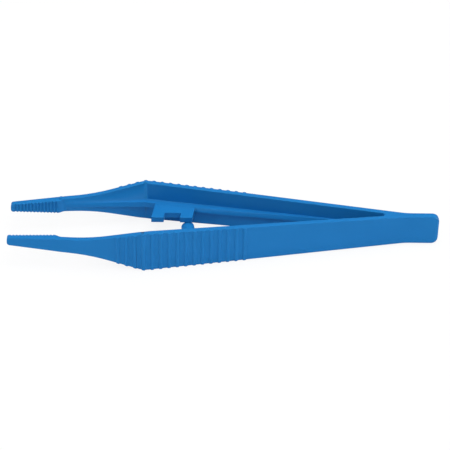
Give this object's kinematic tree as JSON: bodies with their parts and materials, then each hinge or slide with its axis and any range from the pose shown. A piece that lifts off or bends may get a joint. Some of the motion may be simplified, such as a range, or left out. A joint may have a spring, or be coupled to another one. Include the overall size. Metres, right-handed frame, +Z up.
{
  "type": "plastic tweezers",
  "caption": "One-piece moulded plastic tweezers with bowed ribbed arms, blunt cross-toothed jaws, a guide post with stop and guide blocks, and a flat heel.",
  "frame": {"origin": "on the surface that the tweezers lie on, below the middle of their bounding box", "axes": "+X from the jaws to the heel, +Y from the front arm to the rear arm, +Z up across the width of the arms"},
  "size_m": [0.145, 0.0308, 0.015],
  "materials": {
    "body": "satin"
  },
  "bodies": {
    "root": {"tweezers": "body"}
  },
  "joints": []
}
